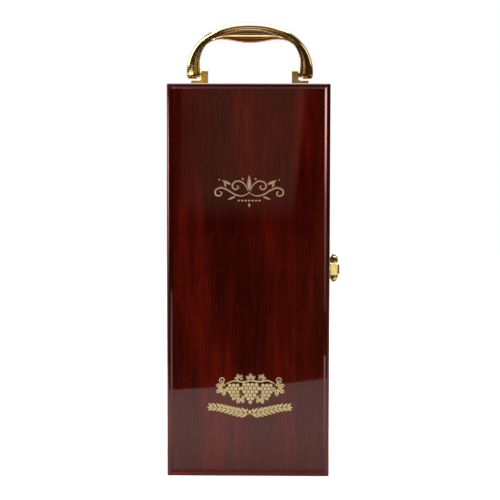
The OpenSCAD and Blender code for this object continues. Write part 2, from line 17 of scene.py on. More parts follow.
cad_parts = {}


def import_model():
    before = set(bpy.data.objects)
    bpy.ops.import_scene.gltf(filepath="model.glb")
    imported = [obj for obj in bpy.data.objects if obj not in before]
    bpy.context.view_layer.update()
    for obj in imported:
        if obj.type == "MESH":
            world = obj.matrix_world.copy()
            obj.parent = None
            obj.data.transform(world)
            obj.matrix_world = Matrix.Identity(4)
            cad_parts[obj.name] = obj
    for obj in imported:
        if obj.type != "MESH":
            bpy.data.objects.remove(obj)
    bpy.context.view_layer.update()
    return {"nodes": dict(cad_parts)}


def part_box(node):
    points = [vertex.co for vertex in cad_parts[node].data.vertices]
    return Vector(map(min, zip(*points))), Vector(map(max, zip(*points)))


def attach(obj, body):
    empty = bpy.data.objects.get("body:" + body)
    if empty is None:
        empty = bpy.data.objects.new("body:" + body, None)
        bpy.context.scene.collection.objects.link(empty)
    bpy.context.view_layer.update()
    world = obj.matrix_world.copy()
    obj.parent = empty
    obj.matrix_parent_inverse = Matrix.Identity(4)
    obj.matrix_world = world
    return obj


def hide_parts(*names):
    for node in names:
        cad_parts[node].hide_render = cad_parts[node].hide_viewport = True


LOG = logging.getLogger("wine_box")
MM = 0.001
Colour = tuple[float, float, float]
Point = tuple[float, float]
Outlines = Sequence[Sequence[Point]]
Piece = bpy.types.Object
Material = bpy.types.Material
Tree = bpy.types.NodeTree
Node = bpy.types.Node
Socket = bpy.types.NodeSocket
Finishes = dict[str, Material]


class Grain(Enum):
    """Direction in which a board's grain runs."""

    UPRIGHT = "upright"
    LEVEL = "level"


class Body(Enum):
    """Bodies of the frame that the pieces ride on."""

    BASE = "base"
    LID = "lid"
    HANDLE = "handle"
    LATCH = "latch"


# ---------- Bench: modelling by operators ----------


def deselect_all() -> None:
    """Leave edit mode and select nothing."""
    if bpy.context.object and bpy.context.object.mode != "OBJECT":
        bpy.ops.object.mode_set(mode="OBJECT")
    bpy.ops.object.select_all(action="DESELECT")


def pick(piece: Piece) -> Piece:
    """Make one piece the only selected and the active object."""
    deselect_all()
    piece.select_set(True)
    bpy.context.view_layer.objects.active = piece
    return piece


def finish_new(name: str) -> Piece:
    """Name the piece an operator has just added, and put its place into its mesh.

    Args:
        name: Name of the piece and of its mesh.

    Returns:
        The piece, with its object at the origin.
    """
    piece = bpy.context.object
    piece.name = name
    piece.data.name = name
    bpy.ops.object.transform_apply(location=True, rotation=True, scale=True)
    return piece


def add_block(name: str, low: Sequence[float], high: Sequence[float]) -> Piece:
    """Add a block between two corners.

    Args:
        name: Name of the piece.
        low: Lowest corner.
        high: Highest corner.

    Returns:
        The new piece.
    """
    low_v, high_v = Vector(low), Vector(high)
    deselect_all()
    bpy.ops.mesh.primitive_cube_add(size=1, location=(low_v + high_v) / 2)
    bpy.context.object.scale = high_v - low_v
    return finish_new(name)


def add_polygon(name: str, points: Sequence[Sequence[float]]) -> Piece:
    """Add a polygon.

    Args:
        name: Name of the piece.
        points: Its corners, in order.

    Returns:
        The new piece.
    """
    deselect_all()
    bpy.ops.mesh.primitive_circle_add(vertices=len(points), radius=1.0, fill_type="NGON")
    piece = finish_new(name)
    for vertex, point in zip(piece.data.vertices, points):
        vertex.co = point
    return piece


def add_object(name: str, data: bpy.types.ID) -> Piece:
    """Add an object that shows some data."""
    piece = bpy.data.objects.new(name, data)
    bpy.context.scene.collection.objects.link(piece)
    return piece


def modify(piece: Piece, kind: str, **settings: object) -> None:
    """Add a modifier to a piece and apply it.

    Args:
        piece: The piece.
        kind: Type of the modifier.
        **settings: Its settings by name.
    """
    pick(piece)
    modifier = piece.modifiers.new(kind.lower(), kind)
    for key, value in settings.items():
        setattr(modifier, key, value)
    bpy.ops.object.modifier_apply(modifier=modifier.name)


def tidy_mesh(piece: Piece, merge: float, flat_angle: float = 0.0) -> None:
    """Merge a piece's doubles, dissolve its flat triangles and turn its faces outwards.

    Args:
        piece: The piece to clean.
        merge: Distance under which vertices are merged.
        flat_angle: Angle in degrees under which faces are joined, or 0 for none.
    """
    pick(piece)
    bpy.ops.object.mode_set(mode="EDIT")
    bpy.ops.mesh.select_all(action="SELECT")
    bpy.ops.mesh.remove_doubles(threshold=merge)
    if flat_angle:
        bpy.ops.mesh.dissolve_limited(angle_limit=math.radians(flat_angle))
    bpy.ops.mesh.normals_make_consistent(inside=False)
    bpy.ops.object.mode_set(mode="OBJECT")


def smooth(piece: Piece, angle: float = 40.0) -> None:
    """Shade a piece smooth, except across edges sharper than an angle in degrees."""
    pick(piece)
    bpy.ops.object.shade_smooth_by_angle(angle=math.radians(angle))


def copy_of_node(node: Piece, name: str, flat_angle: float = 0.4) -> Piece:
    """Copy a node of the frame as a merged mesh that can be worked on.

    Args:
        node: The node's object.
        name: Name of the copy.
        flat_angle: Angle in degrees under which the copy's faces are joined.

    Returns:
        The copy, with its object at the origin.
    """
    piece = pick(add_object(name, node.data.copy()))
    piece.data.name = name
    piece.data.materials.clear()
    if piece.data.has_custom_normals:
        bpy.ops.mesh.customdata_custom_splitnormals_clear()
    tidy_mesh(piece, merge=2e-6, flat_angle=flat_angle)
    return piece


def paint(piece: Piece, material: Material) -> None:
    """Make a material the only one of a piece."""
    piece.data.materials.clear()
    piece.data.materials.append(material)


def mount(piece: Piece, body: Body, material: Material, stands_for: Sequence[str] = ()) -> Piece:
    """Dress a finished piece and hang it on its body.

    Args:
        piece: The piece, in place.
        body: The body it rides on.
        material: Its finish.
        stands_for: Nodes of the frame that it replaces.

    Returns:
        The piece.
    """
    deselect_all()
    paint(piece, material)
    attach(piece, body.value)
    if stands_for:
        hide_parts(*stands_for)
    LOG.info("%s: %d faces on %s", piece.name, len(piece.data.polygons), body.value)
    return piece


# ---------- Shader groups ----------


class Board:
    """Node board of a material or a group, with short calls to place and wire nodes."""

    def __init__(self, tree: Tree) -> None:
        """Start on an empty tree."""
        self.tree = tree
        self.tree.nodes.clear()

    def feed(self, node: Node, **settings: object) -> Node:
        """Set a node's properties, and set or wire its inputs.

        Args:
            node: The node.
            **settings: Values or sockets by name, with _ for a space, or in0, in1 for an input's number.

        Returns:
            The node.
        """
        for key, value in settings.items():
            if hasattr(node, key):
                setattr(node, key, value)
                continue
            entry = node.inputs[int(key[2:]) if key[:2] == "in" else key.replace("_", " ")]
            if isinstance(value, Socket):
                self.tree.links.new(value, entry)
            else:
                entry.default_value = (*value, 1.0) if entry.type == "RGBA" else value
        return node

    def put(self, kind: str, **settings: object) -> Node:
        """Place a node by its type without the ShaderNode prefix."""
        return self.feed(self.tree.nodes.new("ShaderNode" + kind), **settings)

    def group(self, tree: Tree, **inputs: object) -> bpy.types.bpy_prop_collection:
        """Place a shared group and return its outputs by name."""
        return self.put("Group", node_tree=tree, **inputs).outputs

    def math(self, operation: str, *values: object) -> Socket:
        """Place a Math node and return its output."""
        inputs = {f"in{i}": value for i, value in enumerate(values)}
        return self.put("Math", operation=operation, **inputs).outputs[0]

    def stretch(self, vector: Socket, scale: Sequence[float]) -> Socket:
        """Scale a vector along each axis."""
        node = self.put("VectorMath", operation="MULTIPLY", in0=vector, in1=tuple(scale))
        return node.outputs[0]

    def noise(self, vector: Socket, scale: float, detail: float, rough: float = 0.5) -> Socket:
        """Place a Noise Texture and return its factor."""
        node = self.put("TexNoise", Vector=vector, Scale=scale, Detail=detail, Roughness=rough)
        return node.outputs["Fac"]

    def ease(self, value: Socket, low: float, high: float, out_low: float = 0.0,
             out_high: float = 1.0) -> Socket:
        """Map a value smoothly from one range onto another and return the result."""
        node = self.put("MapRange", interpolation_type="SMOOTHSTEP", Value=value, From_Min=low, From_Max=high,
                        To_Min=out_low, To_Max=out_high)
        return node.outputs["Result"]

    def blend(self, factor: object, first: object, second: object) -> Socket:
        """Mix two colours and return the result."""
        return self.put("Mix", data_type="RGBA", in0=factor, in6=first, in7=second).outputs[2]

    def total(self, first: Socket, first_share: float, second: Socket, second_share: float) -> Socket:
        """Add two values, each times its share."""
        return self.math("MULTIPLY_ADD", first, first_share, self.math("MULTIPLY", second, second_share))

    def bump(self, height: Socket, depth: float) -> Socket:
        """Turn a height, where 1 stands for a depth in metres, into a normal."""
        return self.put("Bump", Height=height, Strength=1.0, Distance=depth).outputs[0]


def new_material(name: str) -> tuple[Material, Board]:
    """Start a material with an empty board."""
    material = bpy.data.materials.new(name)
    material.use_nodes = True
    return material, Board(material.node_tree)


def new_group(name: str, inputs: dict[str, float | None], *outputs: str
              ) -> tuple[Tree, Board, bpy.types.bpy_prop_collection, Node]:
    """Start a shader group that takes a vector.

    Args:
        name: Name of the group.
        inputs: Default of each further input by name, or None for a colour.
        *outputs: Names of its outputs, of which only Color is a colour.

    Returns:
        The tree, its board, its inputs by name and its output node.
    """
    tree = bpy.data.node_groups.new(name, "ShaderNodeTree")
    tree.interface.new_socket("Vector", in_out="INPUT", socket_type="NodeSocketVector")
    for label, default in inputs.items():
        kind = "NodeSocketColor" if default is None else "NodeSocketFloat"
        socket = tree.interface.new_socket(label, in_out="INPUT", socket_type=kind)
        if default is not None:
            socket.default_value = default
    for label in outputs:
        kind = "NodeSocketColor" if label == "Color" else "NodeSocketFloat"
        tree.interface.new_socket(label, in_out="OUTPUT", socket_type=kind)
    board = Board(tree)
    return tree, board, tree.nodes.new("NodeGroupInput").outputs, tree.nodes.new("NodeGroupOutput")


class ShaderGroups:
    """Effects that several finishes share, each built when it is first asked for."""

    @cached_property
    def grain(self) -> Tree:
        """Mahogany figure that runs along Z: broad bands, soft streaks and short dark pores."""
        tree, b, given, end = new_group(
            "wood_grain", {"Dark": None, "Middle": None, "Light": None, "Band Share": 0.5}, "Color")
        place = given["Vector"]
        sway = b.noise(b.stretch(place, (1, 1, 0.6)), 9, 1)
        bend = b.math("MULTIPLY", b.math("SUBTRACT", sway, 0.5), 0.008)
        shift = b.put("CombineXYZ", X=bend, Y=bend).outputs[0]
        bent = b.put("VectorMath", operation="ADD", in0=place, in1=shift).outputs[0]
        bands = b.ease(b.noise(b.stretch(bent, (1, 1, 0.13)), 44, 2, 0.55), 0.32, 0.68)
        streaks = b.ease(b.noise(b.stretch(bent, (1, 1, 0.06)), 300, 2, 0.5), 0.28, 0.72)
        hairs = b.ease(b.noise(b.stretch(bent, (1, 1, 0.04)), 1150, 2, 0.6), 0.28, 0.72)
        fine = b.total(streaks, 0.45, hairs, 0.55)
        share = given["Band Share"]
        tone = b.put("Mix", data_type="FLOAT", in0=share, in2=fine, in3=bands).outputs[0]
        pores = b.ease(b.noise(b.stretch(bent, (1, 1, 0.035)), 2300, 1, 0.5), 0.64, 0.74)
        low = b.blend(b.ease(tone, 0.12, 0.52), given["Dark"], given["Middle"])
        high = b.blend(b.ease(tone, 0.50, 0.92), low, given["Light"])
        inked = b.blend(b.math("MULTIPLY", pores, 0.3), high, given["Dark"])
        b.feed(end, Color=inked)
        return tree

    @cached_property
    def scratches(self) -> Tree:
        """Hair-fine wipe marks and soft smudges on a polished face."""
        tree, b, given, end = new_group("fine_scratches", {"Scale": 1.0}, "Marks", "Smudge")
        scaled = b.put("VectorMath", operation="SCALE", in0=given["Vector"], Scale=given["Scale"]).outputs[0]
        along = b.noise(b.stretch(scaled, (0.06, 1, 1)), 1900, 2, 0.6)
        across = b.noise(b.stretch(scaled, (1, 1, 0.06)), 1600, 2, 0.6)
        marks = b.math("MAXIMUM", b.ease(along, 0.60, 0.74), b.ease(across, 0.62, 0.76))
        smudge = b.ease(b.noise(scaled, 70, 3, 0.6), 0.36, 0.70)
        b.feed(end, Marks=marks, Smudge=smudge)
        return tree

    @cached_property
    def weave(self) -> Tree:
        """Fine satin threads in the plane of X and Z, with a slubby, slightly uneven pull."""
        tree, b, given, end = new_group("thread_weave", {"Thread": 2600.0}, "Height", "Tone")
        parts = b.put("SeparateXYZ", Vector=given["Vector"])
        pull = b.math("MULTIPLY", b.noise(given["Vector"], 120, 2), 0.004)
        warp_at = b.math("MULTIPLY", b.math("ADD", parts.outputs["X"], pull), given["Thread"])
        weft_at = b.math("MULTIPLY", b.math("ADD", parts.outputs["Z"], pull), given["Thread"])
        warp = b.math("ABSOLUTE", b.math("SINE", warp_at))
        weft = b.math("ABSOLUTE", b.math("SINE", weft_at))
        height = b.total(warp, 0.7, weft, 0.3)
        slubs = b.noise(b.stretch(given["Vector"], (1, 1, 0.05)), 900, 2, 0.6)
        b.feed(end, Height=height, Tone=b.total(height, 0.4, slubs, 0.6))
        return tree

    @cached_property
    def mottle(self) -> Tree:
        """Soft clouds and a short nap, for flock and for foil."""
        tree, b, given, end = new_group("fibre_mottle", {"Scale": 1.0}, "Clouds", "Nap")
        scaled = b.put("VectorMath", operation="SCALE", in0=given["Vector"], Scale=given["Scale"]).outputs[0]
        clouds = b.ease(b.noise(scaled, 55, 3, 0.55), 0.32, 0.68)
        nap = b.ease(b.noise(scaled, 3200, 2, 0.6), 0.30, 0.72)
        b.feed(end, Clouds=clouds, Nap=nap)
        return tree


# ---------- Finishes ----------


@dataclass(frozen=True)
class Finish:
    """What every finish shares: a material with one Principled shader on Object coordinates."""

    name: str

    def build(self, groups: ShaderGroups) -> Material:
        """Make the material.

        Args:
            groups: The shared shader groups.

        Returns:
            The material.
        """
        material, b = new_material(self.name)
        shader = b.put("BsdfPrincipled")
        b.put("OutputMaterial", Surface=shader.outputs[0])
        self.wire(b, shader, b.put("TexCoord").outputs["Object"], groups)
        return material

    def wire(self, b: Board, shader: Node, place: Socket, groups: ShaderGroups) -> None:
        """Wire the shader.

        Args:
            b: The material's board.
            shader: Its Principled node.
            place: Its Object coordinates.
            groups: The shared shader groups.
        """
        raise NotImplementedError


@dataclass(frozen=True)
class LacquerFinish(Finish):
    """High-gloss clear lacquer over stained mahogany veneer."""

    grain: Grain = Grain.UPRIGHT
    dark: Colour = (0.0335, 0.0015, 0.0006)
    middle: Colour = (0.0665, 0.0031, 0.0010)
    light: Colour = (0.131, 0.0063, 0.0019)
    band_share: float = 0.5
    offset: tuple[float, float, float] = (0.0, 0.0, 0.0)
    shine: float = 0.35
    shine_tint: Colour = (1.0, 0.16, 0.12)
    skin_depth: float = 0.00002
    coat_roughness: float = 0.02

    def wire(self, b: Board, shader: Node, place: Socket, groups: ShaderGroups) -> None:
        """Wire the shader."""
        turn = (0.0, 0.0, 0.0) if self.grain is Grain.UPRIGHT else (0.0, math.radians(90), 0.0)
        laid = b.put("Mapping", Vector=place, Location=self.offset, Rotation=turn).outputs[0]
        wood = b.group(groups.grain, Vector=laid, Dark=self.dark, Middle=self.middle,
                       Light=self.light, Band_Share=self.band_share)
        wipes = b.group(groups.scratches, Vector=place, Scale=0.5)
        skin = b.math("MULTIPLY_ADD", wipes["Marks"], 0.01, b.noise(place, 60, 2, 0.5))
        b.feed(shader, Base_Color=wood["Color"], Normal=b.bump(skin, self.skin_depth),
               Roughness=b.math("MULTIPLY_ADD", wipes["Smudge"], 0.05, 0.12), Specular_IOR_Level=self.shine,
               Specular_Tint=self.shine_tint, Coat_Weight=1.0, Coat_Roughness=self.coat_roughness,
               Coat_IOR=1.5)


@dataclass(frozen=True)
class MetalFinish(Finish):
    """Polished plated metal with fine wipe marks."""

    colour: Colour = (0.87, 0.63, 0.29)
    worn: Colour = (0.80, 0.55, 0.23)
    roughness: float = 0.08
    mark_depth: float = 0.0000002

    def wire(self, b: Board, shader: Node, place: Socket, groups: ShaderGroups) -> None:
        """Wire the shader."""
        wipes = b.group(groups.scratches, Vector=place)
        wiped = b.math("MULTIPLY_ADD", wipes["Marks"], 0.04, self.roughness)
        b.feed(shader, Base_Color=b.blend(wipes["Smudge"], self.colour, self.worn),
               Roughness=b.math("MULTIPLY_ADD", wipes["Smudge"], 0.05, wiped),
               Normal=b.bump(wipes["Marks"], self.mark_depth), Metallic=1.0)


@dataclass(frozen=True)
class FoilFinish(Finish):
    """Hot-stamped foil: a soft metallic leaf with a faintly grainy skin."""

    colour: Colour = (0.82, 0.70, 0.355)
    deep: Colour = (0.64, 0.52, 0.235)
    metallic: float = 0.25
    roughness: float = 0.42
    nap_depth: float = 0.00002

    def wire(self, b: Board, shader: Node, place: Socket, groups: ShaderGroups) -> None:
        """Wire the shader."""
        skin = b.group(groups.mottle, Vector=place, Scale=1.6)
        worn = b.total(skin["Clouds"], 0.45, skin["Nap"], 0.35)
        b.feed(shader, Base_Color=b.blend(worn, self.colour, self.deep),
               Roughness=b.math("MULTIPLY_ADD", skin["Nap"], 0.12, self.roughness),
               Normal=b.bump(skin["Nap"], self.nap_depth), Metallic=self.metallic)


@dataclass(frozen=True)
class SatinFinish(Finish):
    """Champagne lining satin."""

    colour: Colour = (0.66, 0.53, 0.34)
    shade: Colour = (0.46, 0.35, 0.20)
    roughness: float = 0.34
    thread_depth: float = 0.00006

    def wire(self, b: Board, shader: Node, place: Socket, groups: ShaderGroups) -> None:
        """Wire the shader."""
        cloth = b.group(groups.weave, Vector=place)
        clouds = b.group(groups.mottle, Vector=place, Scale=0.7)
        tone = b.total(cloth["Tone"], 0.55, clouds["Clouds"], 0.25)
        b.feed(shader, Base_Color=b.blend(tone, self.colour, self.shade),
               Roughness=b.math("MULTIPLY_ADD", cloth["Tone"], 0.15, self.roughness),
               Normal=b.bump(cloth["Height"], self.thread_depth), Sheen_Weight=0.5, Sheen_Roughness=0.35,
               Specular_IOR_Level=0.6)


@dataclass(frozen=True)
class FlockFinish(Finish):
    """Velvet flock on moulded foam."""

    colour: Colour = (0.60, 0.46, 0.27)
    shade: Colour = (0.40, 0.29, 0.15)
    roughness: float = 0.85
    nap_depth: float = 0.00012

    def wire(self, b: Board, shader: Node, place: Socket, groups: ShaderGroups) -> None:
        """Wire the shader."""
        fibres = b.group(groups.mottle, Vector=place)
        tone = b.total(fibres["Clouds"], 0.5, fibres["Nap"], 0.4)
        b.feed(shader, Base_Color=b.blend(tone, self.colour, self.shade),
               Roughness=b.math("MULTIPLY_ADD", fibres["Nap"], 0.1, self.roughness),
               Normal=b.bump(fibres["Nap"], self.nap_depth), Sheen_Weight=0.9, Sheen_Roughness=0.5)


FINISHES = {
    "panel": LacquerFinish("lacquered_panel", offset=(-0.34, 0.57, -0.03)),
    "back": LacquerFinish("lacquered_back", offset=(0.31, 0.2, 0.12)),
    # Side walls: a darker copy of the lacquer, painted shade for walls and inner bevels that face away from
    # the key light and sit in the rail's shadow.
    "upright": LacquerFinish("lacquered_stile_painted_shade", dark=(0.020, 0.0010, 0.0004), middle=(0.040, 0.0021, 0.0007),
                             light=(0.075, 0.0042, 0.0013), offset=(0.11, 0.4, 0.3), shine=0.7),
    "level": LacquerFinish("lacquered_rail", grain=Grain.LEVEL, offset=(0.5, 0.1, 0.7)),
    # Bottom walls: a lighter, redder copy of the rail lacquer, painted light for the upward-facing bevel that
    # the lamps above light.
    "foot": LacquerFinish("lacquered_foot_painted_light", grain=Grain.LEVEL, dark=(0.048, 0.0021, 0.0009),
                          middle=(0.088, 0.0045, 0.0015), light=(0.150, 0.0085, 0.0026),
                          offset=(0.2, 0.6, 0.1)),
    "gilt": MetalFinish("gilt_metal"),
    "steel": MetalFinish("steel_screw", colour=(0.62, 0.61, 0.58), worn=(0.5, 0.49, 0.47), roughness=0.22),
    "foil": FoilFinish("gilt_foil"),
    # Flourish foil: the gilt foil tinted pink, a painted reflection of the pinkish sheen it catches high on
    # the lid.
    "pink_sheen_painted_foil": FoilFinish("gilt_foil_with_painted_pink_sheen", colour=(0.64, 0.46, 0.28), deep=(0.50, 0.34, 0.19)),
    "satin": SatinFinish("lining_satin"),
    "flock": FlockFinish("bed_flock"),
}


# ---------- Case ----------


@dataclass
class Case:
    """Mitred walls and the two gloss panels, which are the frame's own nodes."""

    nodes: dict[str, Piece]
    finishes: Finishes

    def dress(self) -> None:
        """Give each board its finish, with the grain along the board. The side walls take a darker copy of
        the lacquer as painted shade, and the bottom walls a lighter, redder one as painted light.
        """
        for part in ("base", "lid"):
            for side in ("left", "right"):
                paint(self.nodes[f"{part}_{side}_wall"], self.finishes["upright"])
            paint(self.nodes[f"{part}_top_wall"], self.finishes["level"])
            # painted light: the bottom walls take the lighter foot lacquer
            paint(self.nodes[f"{part}_bottom_wall"], self.finishes["foot"])
        paint(self.nodes["lid_panel"], self.finishes["panel"])
        paint(self.nodes["back_panel"], self.finishes["back"])


# ---------- Hardware ----------


@dataclass
class Hardware:
    """Brackets, hinges, latch and screws, with their edges eased as cast and pressed metal has them."""

    nodes: dict[str, Piece]
    finishes: Finishes
    bracket_edge: float = 0.35 * MM
    latch_edge: float = 0.18 * MM
    leaf_edge: float = 0.12 * MM
    pin_edge: float = 0.1 * MM
    eased_angle: float = 40.0
    sharp_angle: float = 32.0

    def build(self) -> None:
        """Build the eased pieces and dress the small ones."""
        for side in ("left", "right"):
            self.ease(f"handle_bracket_{side}", Body.BASE, self.bracket_edge)
        self.ease("latch_mount", Body.BASE, self.latch_edge)
        self.ease("latch_keeper", Body.LID, self.latch_edge)
        self.ease("latch_flap", Body.LATCH, self.latch_edge)
        self.ease("latch_pin", Body.BASE, self.pin_edge)
        self.ease("handle_pins", Body.BASE, self.pin_edge)
        for place in ("upper", "lower"):
            self.ease(f"hinge_base_leaf_{place}", Body.BASE, self.leaf_edge)
            self.ease(f"hinge_lid_leaf_{place}", Body.LID, self.leaf_edge)
        for node in ("hinge_pins", "hinge_base_screws", "hinge_lid_screws", "latch_mount_screws",
                     "latch_keeper_screws"):
            paint(self.nodes[node], self.finishes["gilt"])
        paint(self.nodes["handle_bracket_screws"], self.finishes["steel"])

    def ease(self, node: str, body: Body, width: float) -> None:
        """Stand a copy with eased edges in for a node.

        Args:
            node: Name of the node.
            body: Body that it belongs to.
            width: Width of the eased edges.
        """
        piece = copy_of_node(self.nodes[node], node + "_eased")
        modify(piece, "BEVEL", width=width, segments=3, limit_method="ANGLE",
               angle_limit=math.radians(self.eased_angle), use_clamp_overlap=True)
        smooth(piece, self.sharp_angle)
        modify(piece, "WEIGHTED_NORMAL", weight=100, keep_sharp=True)
        mount(piece, body, self.finishes["gilt"], [node])


# ---------- Handle ----------


@dataclass
class CarryHandle:
    """Cast arch: slim legs, a ridged outer band and a belly that fills the hand."""

    finishes: Finishes
    pivot: Vector
    half_width: float = 58.9 * MM
    height: float = 47.7 * MM
    fullness: float = 2.2
    foot_t: float = 13.4 * MM
    neck_t: float = 7.5 * MM
    grip_t: float = 19.0 * MM
    foot_w: float = 8.8 * MM
    grip_w: float = 15.6 * MM
    corner_r: float = 3.0 * MM
    neck_angle: float = 40.0
    neck_power: float = 1.2
    grip_power: float = 1.15
    widening: Point = (15.0, 85.0)
    filling: Point = (30.0, 65.0)
    step: float = 3.0
    band_share: float = 0.95
    grip_cut: float = 0.17
    boss_r: float = 3.35 * MM
    boss_reach: float = 49.3 * MM
    cut_spare: float = 2.0 * MM
    band: tuple[Point, ...] = ((0, 0), (0.35, 0.02), (0.6, 0.08), (0.8, 0.2), (0.92, 0.36), (0.985, 0.52),
                               (1, 0.64), (0.985, 0.74), (0.97, 0.8), (1, 0.88), (1, 1))
    leg: tuple[Point, ...] = ((0.99, 0.14), (0.96, 0.34), (0.9, 0.5), (0.8, 0.66), (0.64, 0.8), (0.36, 0.94))
    belly: tuple[Point, ...] = ((0.92, 0.1), (0.83, 0.37), (0.9, 0.5), (0.98, 0.63), (0.86, 0.86),
                                (0.46, 0.97))
    foot_cuts: tuple[float, ...] = (84, 66, 48, 32, 16)

    @staticmethod
    def ramp(low: float, high: float, x: float) -> float:
        """Smooth step from 0 to 1 as x goes from low to high."""
        return (1 - math.cos(math.pi * max(0.0, min(1.0, (x - low) / (high - low))))) / 2

    def thickness(self, t: float) -> float:
        """Thickness of the arch at t degrees from its nearer foot."""
        if t < self.neck_angle:
            return self.neck_t + (self.foot_t - self.neck_t) * (1 - t / self.neck_angle) ** self.neck_power
        filled = self.ramp(self.neck_angle, 90, t) ** self.grip_power
        return self.neck_t + (self.grip_t - self.neck_t) * filled

    def half_section(self, t: float) -> list[Point]:
        """Cut one half of the arch.

        Args:
            t: Degrees from the nearer foot.

        Returns:
            Points from the outer middle inwards, as half width and depth.
        """
        half_w = (self.foot_w + (self.grip_w - self.foot_w) * self.ramp(*self.widening, t)) / 2
        whole = self.thickness(t)
        grip = self.ramp(*self.filling, t)
        band_t = (self.band_share - self.grip_cut * grip) * (whole if t < self.neck_angle else self.neck_t)
        outer = [(x * half_w, y * band_t) for x, y in self.band]
        inner = []
        for (leg_x, leg_y), (belly_x, belly_y) in zip(self.leg, self.belly):
            share_x = leg_x + (belly_x - leg_x) * grip
            share_y = leg_y + (belly_y - leg_y) * grip
            inner.append((share_x * half_w, band_t + share_y * (whole - band_t)))
        return outer + inner

    def section(self, t: float) -> list[Point]:
        """Whole section: one side inwards, the inner middle, and the other side back."""
        half = self.half_section(t)
        return half + [(0.0, self.thickness(t))] + [(-x, y) for x, y in half[:0:-1]]

    def arch_ring(self, t: float) -> list[Vector]:
        """Cut the arch square to its middle line.

        Args:
            t: Degrees from its right foot.

        Returns:
            Ring of points round the cut.
        """
        near = 180 - t if t > 90 else t
        power = 2 / self.fullness
        c, s = math.cos(math.radians(t)), max(0.0, math.sin(math.radians(t)))
        x = math.copysign(self.half_width * abs(c) ** power, c)
        z = self.height * s ** power
        nx = math.copysign(abs(x / self.half_width) ** (self.fullness - 1) / self.half_width, x)
        nz = (z / self.height) ** (self.fullness - 1) / self.height
        size = math.hypot(nx, nz)
        return [Vector((x - nx / size * depth, side, z - nz / size * depth))
                for side, depth in self.section(near)]

    def foot_ring(self, angle: float, side: int) -> list[Vector]:
        """Cut a foot's rounded end.

        Args:
            angle: Degrees below its pivot.
            side: 1 for the right foot and -1 for the left one.

        Returns:
            Ring of points round the cut.
        """
        turn = math.radians(angle)
        inset = self.corner_r * (1 - math.cos(turn))
        slimmer = (self.foot_t - inset) / self.foot_t
        drop = self.foot_w / 2 * math.sin(turn)
        return [Vector((side * (self.half_width - inset - depth * slimmer), across * math.cos(turn), -drop))
                for across, depth in self.section(0)]

    def rings(self) -> list[list[Vector]]:
        """All rings, from the right foot over the crown to the left foot."""
        count = round(180 / self.step)
        arch = [self.arch_ring(180 * i / count) for i in range(count + 1)]
        right = [self.foot_ring(angle, 1) for angle in self.foot_cuts]
        left = [self.foot_ring(angle, -1) for angle in self.foot_cuts[::-1]]
        return right + arch + left

    def build(self) -> None:
        """Sweep the arch, cut its feet round the bosses and hang it on its pivots."""
        piece = self.sweep()
        modify(piece, "SUBSURF", levels=2, render_levels=2)
        for side in (-1, 1):
            self.cut_foot(piece, side)
        smooth(piece)
        mount(piece, Body.HANDLE, self.finishes["gilt"], ["handle_arch"])

    def sweep(self) -> Piece:
        """Extrude a ring of points from foot to foot, placing each new ring on the arch.

        Returns:
            The closed sweep.
        """
        rings = [[self.pivot + point for point in ring] for ring in self.rings()]
        piece = add_polygon("handle_arch_cast", rings[0])
        bpy.ops.object.mode_set(mode="EDIT")
        bpy.ops.mesh.select_mode(type="FACE")
        bpy.ops.mesh.select_all(action="SELECT")
        for before, after in zip(rings, rings[1:]):
            bpy.ops.mesh.extrude_region_move()
            sheet = bmesh.from_edit_mesh(piece.data)
            moved = [vertex for vertex in sheet.verts if vertex.select]
            for vertex in moved:
                nearest = min(range(len(before)), key=lambda i: (before[i] - vertex.co).length_squared)
                vertex.co = after[nearest]
            bmesh.update_edit_mesh(piece.data)
        bpy.ops.object.mode_set(mode="OBJECT")
        tidy_mesh(piece, merge=1e-7)
        return piece

    def cut_foot(self, piece: Piece, side: int) -> None:
        """Step a foot round its bracket's boss.

        Args:
            piece: The arch.
            side: 1 for the right foot and -1 for the left one.
        """
        inner = self.half_width - self.foot_t - self.cut_spare
        low, high = sorted((side * inner, side * self.boss_reach))
        middle = Vector(((low + high) / 2, 0, 0))
        deselect_all()
        bpy.ops.mesh.primitive_cylinder_add(vertices=64, radius=self.boss_r, depth=self.boss_reach - inner,
                                            location=self.pivot + middle, rotation=(0, math.radians(90), 0))
        round_cut = finish_new("boss_room")
        step_cut = add_block("step_room", self.pivot + Vector((low, -self.foot_w, -self.foot_w)),
                             self.pivot + Vector((high, self.foot_w, 0)))
        for cutter in (round_cut, step_cut):
            modify(piece, "BOOLEAN", operation="DIFFERENCE", solver="EXACT", object=cutter)
            bpy.data.objects.remove(cutter)


# ---------- Lining ----------


